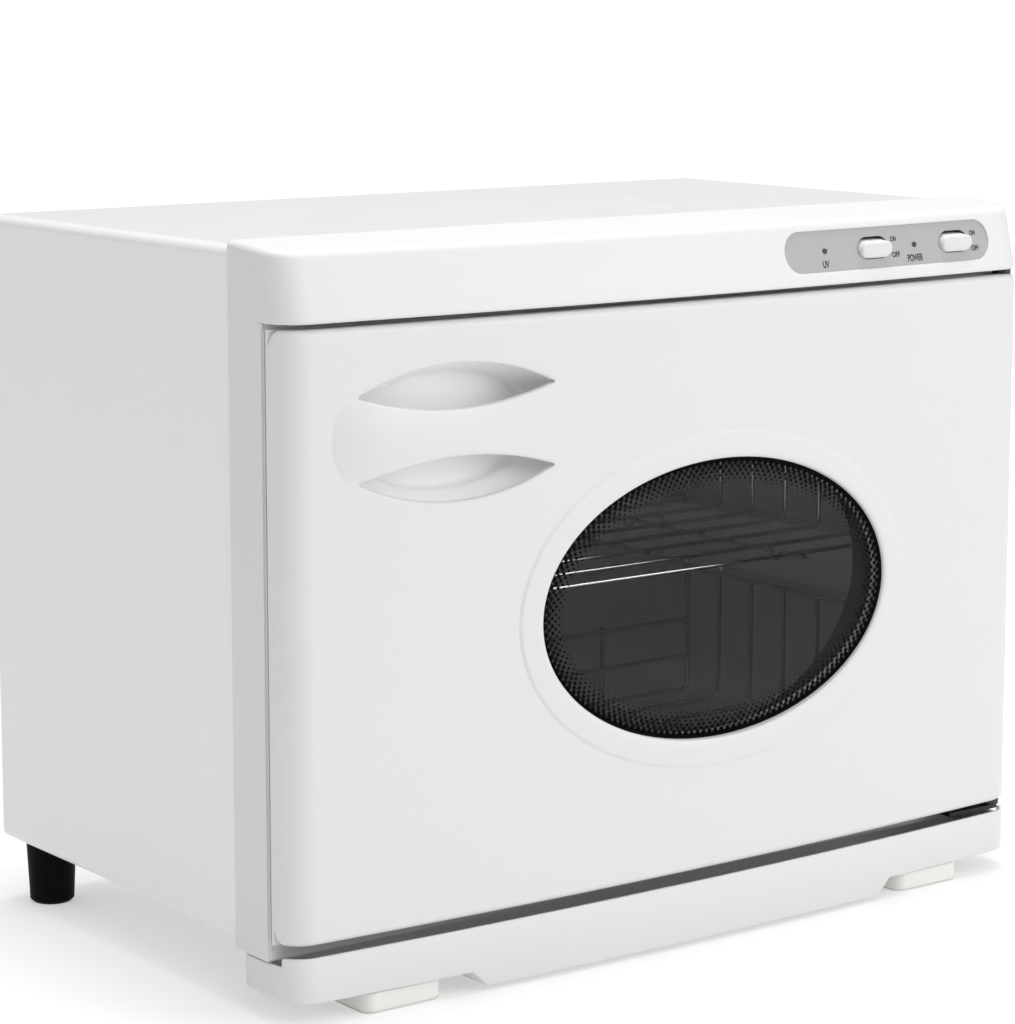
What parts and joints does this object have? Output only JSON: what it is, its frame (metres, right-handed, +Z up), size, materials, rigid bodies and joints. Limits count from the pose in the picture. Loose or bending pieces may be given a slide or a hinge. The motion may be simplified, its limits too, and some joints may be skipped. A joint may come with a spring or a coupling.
{
  "type": "hot towel cabinet",
  "caption": "Heated towel cabinet: bowed door with an oval window and bridged handle pocket, hood with rocker switches, wire racks inside and a pull-out drip tray.",
  "frame": {"origin": "on the ground, in the middle of the cabinet's width and depth", "axes": "+X to the right of someone facing the door, +Y towards the back, +Z up"},
  "size_m": [0.45, 0.2746, 0.348],
  "materials": {
    "casing_enamel": "smooth white enamel",
    "white_plastic": "moulded white plastic, satin",
    "foot_rubber": "black rubber",
    "pad_plastic": "cream plastic",
    "plate_grey": "flat grey plastic",
    "switch_black": "black plastic",
    "lens_dark": "dark unlit lens",
    "liner_aluminium": "bright drawn sheet",
    "insulation_wool": "pale wool slab",
    "heater_rubber": "silicone heating mat",
    "steel_zinc": "zinc-plated steel",
    "rack_chrome": "bright plated wire",
    "lamp_glass": "clear lamp tube",
    "holder_white": "white plastic",
    "magnet_dark": "dark ferrite",
    "window_smoke": "smoke-tinted pane",
    "gasket_rubber": "pale soft seal"
  },
  "bodies": {
    "cabinet": {"outer_casing": "casing_enamel", "bottom_panel": "casing_enamel", "back_panel": "casing_enamel", "rear_feet": "foot_rubber", "front_foot_left": "pad_plastic", "front_foot_right": "pad_plastic", "front_frame": "white_plastic", "control_plate": "plate_grey", "uv_switch_housing": "switch_black", "power_switch_housing": "switch_black", "indicator_lenses": "lens_dark", "inner_chamber": "liner_aluminium", "insulation_top": "insulation_wool", "insulation_bottom": "insulation_wool", "insulation_left": "insulation_wool", "insulation_right": "insulation_wool", "insulation_rear": "insulation_wool", "heater_mat": "heater_rubber", "thermostat": "switch_black", "thermal_fuse": "steel_zinc", "upper_rack": "rack_chrome", "lower_rack": "rack_chrome", "rack_support_left": "liner_aluminium", "rack_support_right": "liner_aluminium", "uv_lamp": "lamp_glass", "lamp_holders": "holder_white", "lamp_guard": "rack_chrome", "uv_ballast": "holder_white", "power_inlet": "switch_black", "hinge_bracket_lower": "steel_zinc", "hinge_bracket_upper": "steel_zinc", "hinge_pin_lower": "steel_zinc", "hinge_pin_upper": "steel_zinc", "door_magnet": "magnet_dark"},
    "door": {"door_shell": "white_plastic", "handle_cup": "white_plastic", "door_inner_panel": "white_plastic", "window_glass": "window_smoke", "window_retainer": "holder_white", "door_gasket": "gasket_rubber", "hinge_bushes": "holder_white", "striker_plate": "steel_zinc"},
    "uv_switch": {"uv_switch_rocker": "white_plastic"},
    "power_switch": {"power_switch_rocker": "white_plastic"},
    "tray": {"drip_tray": "white_plastic"}
  },
  "joints": [
    {"name": "door_hinge", "type": "hinge", "parent": "cabinet", "child": "door", "pos_m": [0.2145, -0.1202, 0.174], "axis": [0, 0, 1], "range_deg": [0, 110]},
    {"name": "uv_switch_rock", "type": "hinge", "parent": "cabinet", "child": "uv_switch", "pos_m": [0.118, -0.1222, 0.3298], "axis": [-1, 0, 0], "range_deg": [0, 12]},
    {"name": "power_switch_rock", "type": "hinge", "parent": "cabinet", "child": "power_switch", "pos_m": [0.175, -0.11957, 0.3298], "axis": [-1, 0, 0], "range_deg": [0, 12]},
    {"name": "tray_slide", "type": "slide", "parent": "cabinet", "child": "tray", "axis": [0, -1, 0], "range_m": [0, 0.045]}
  ]
}
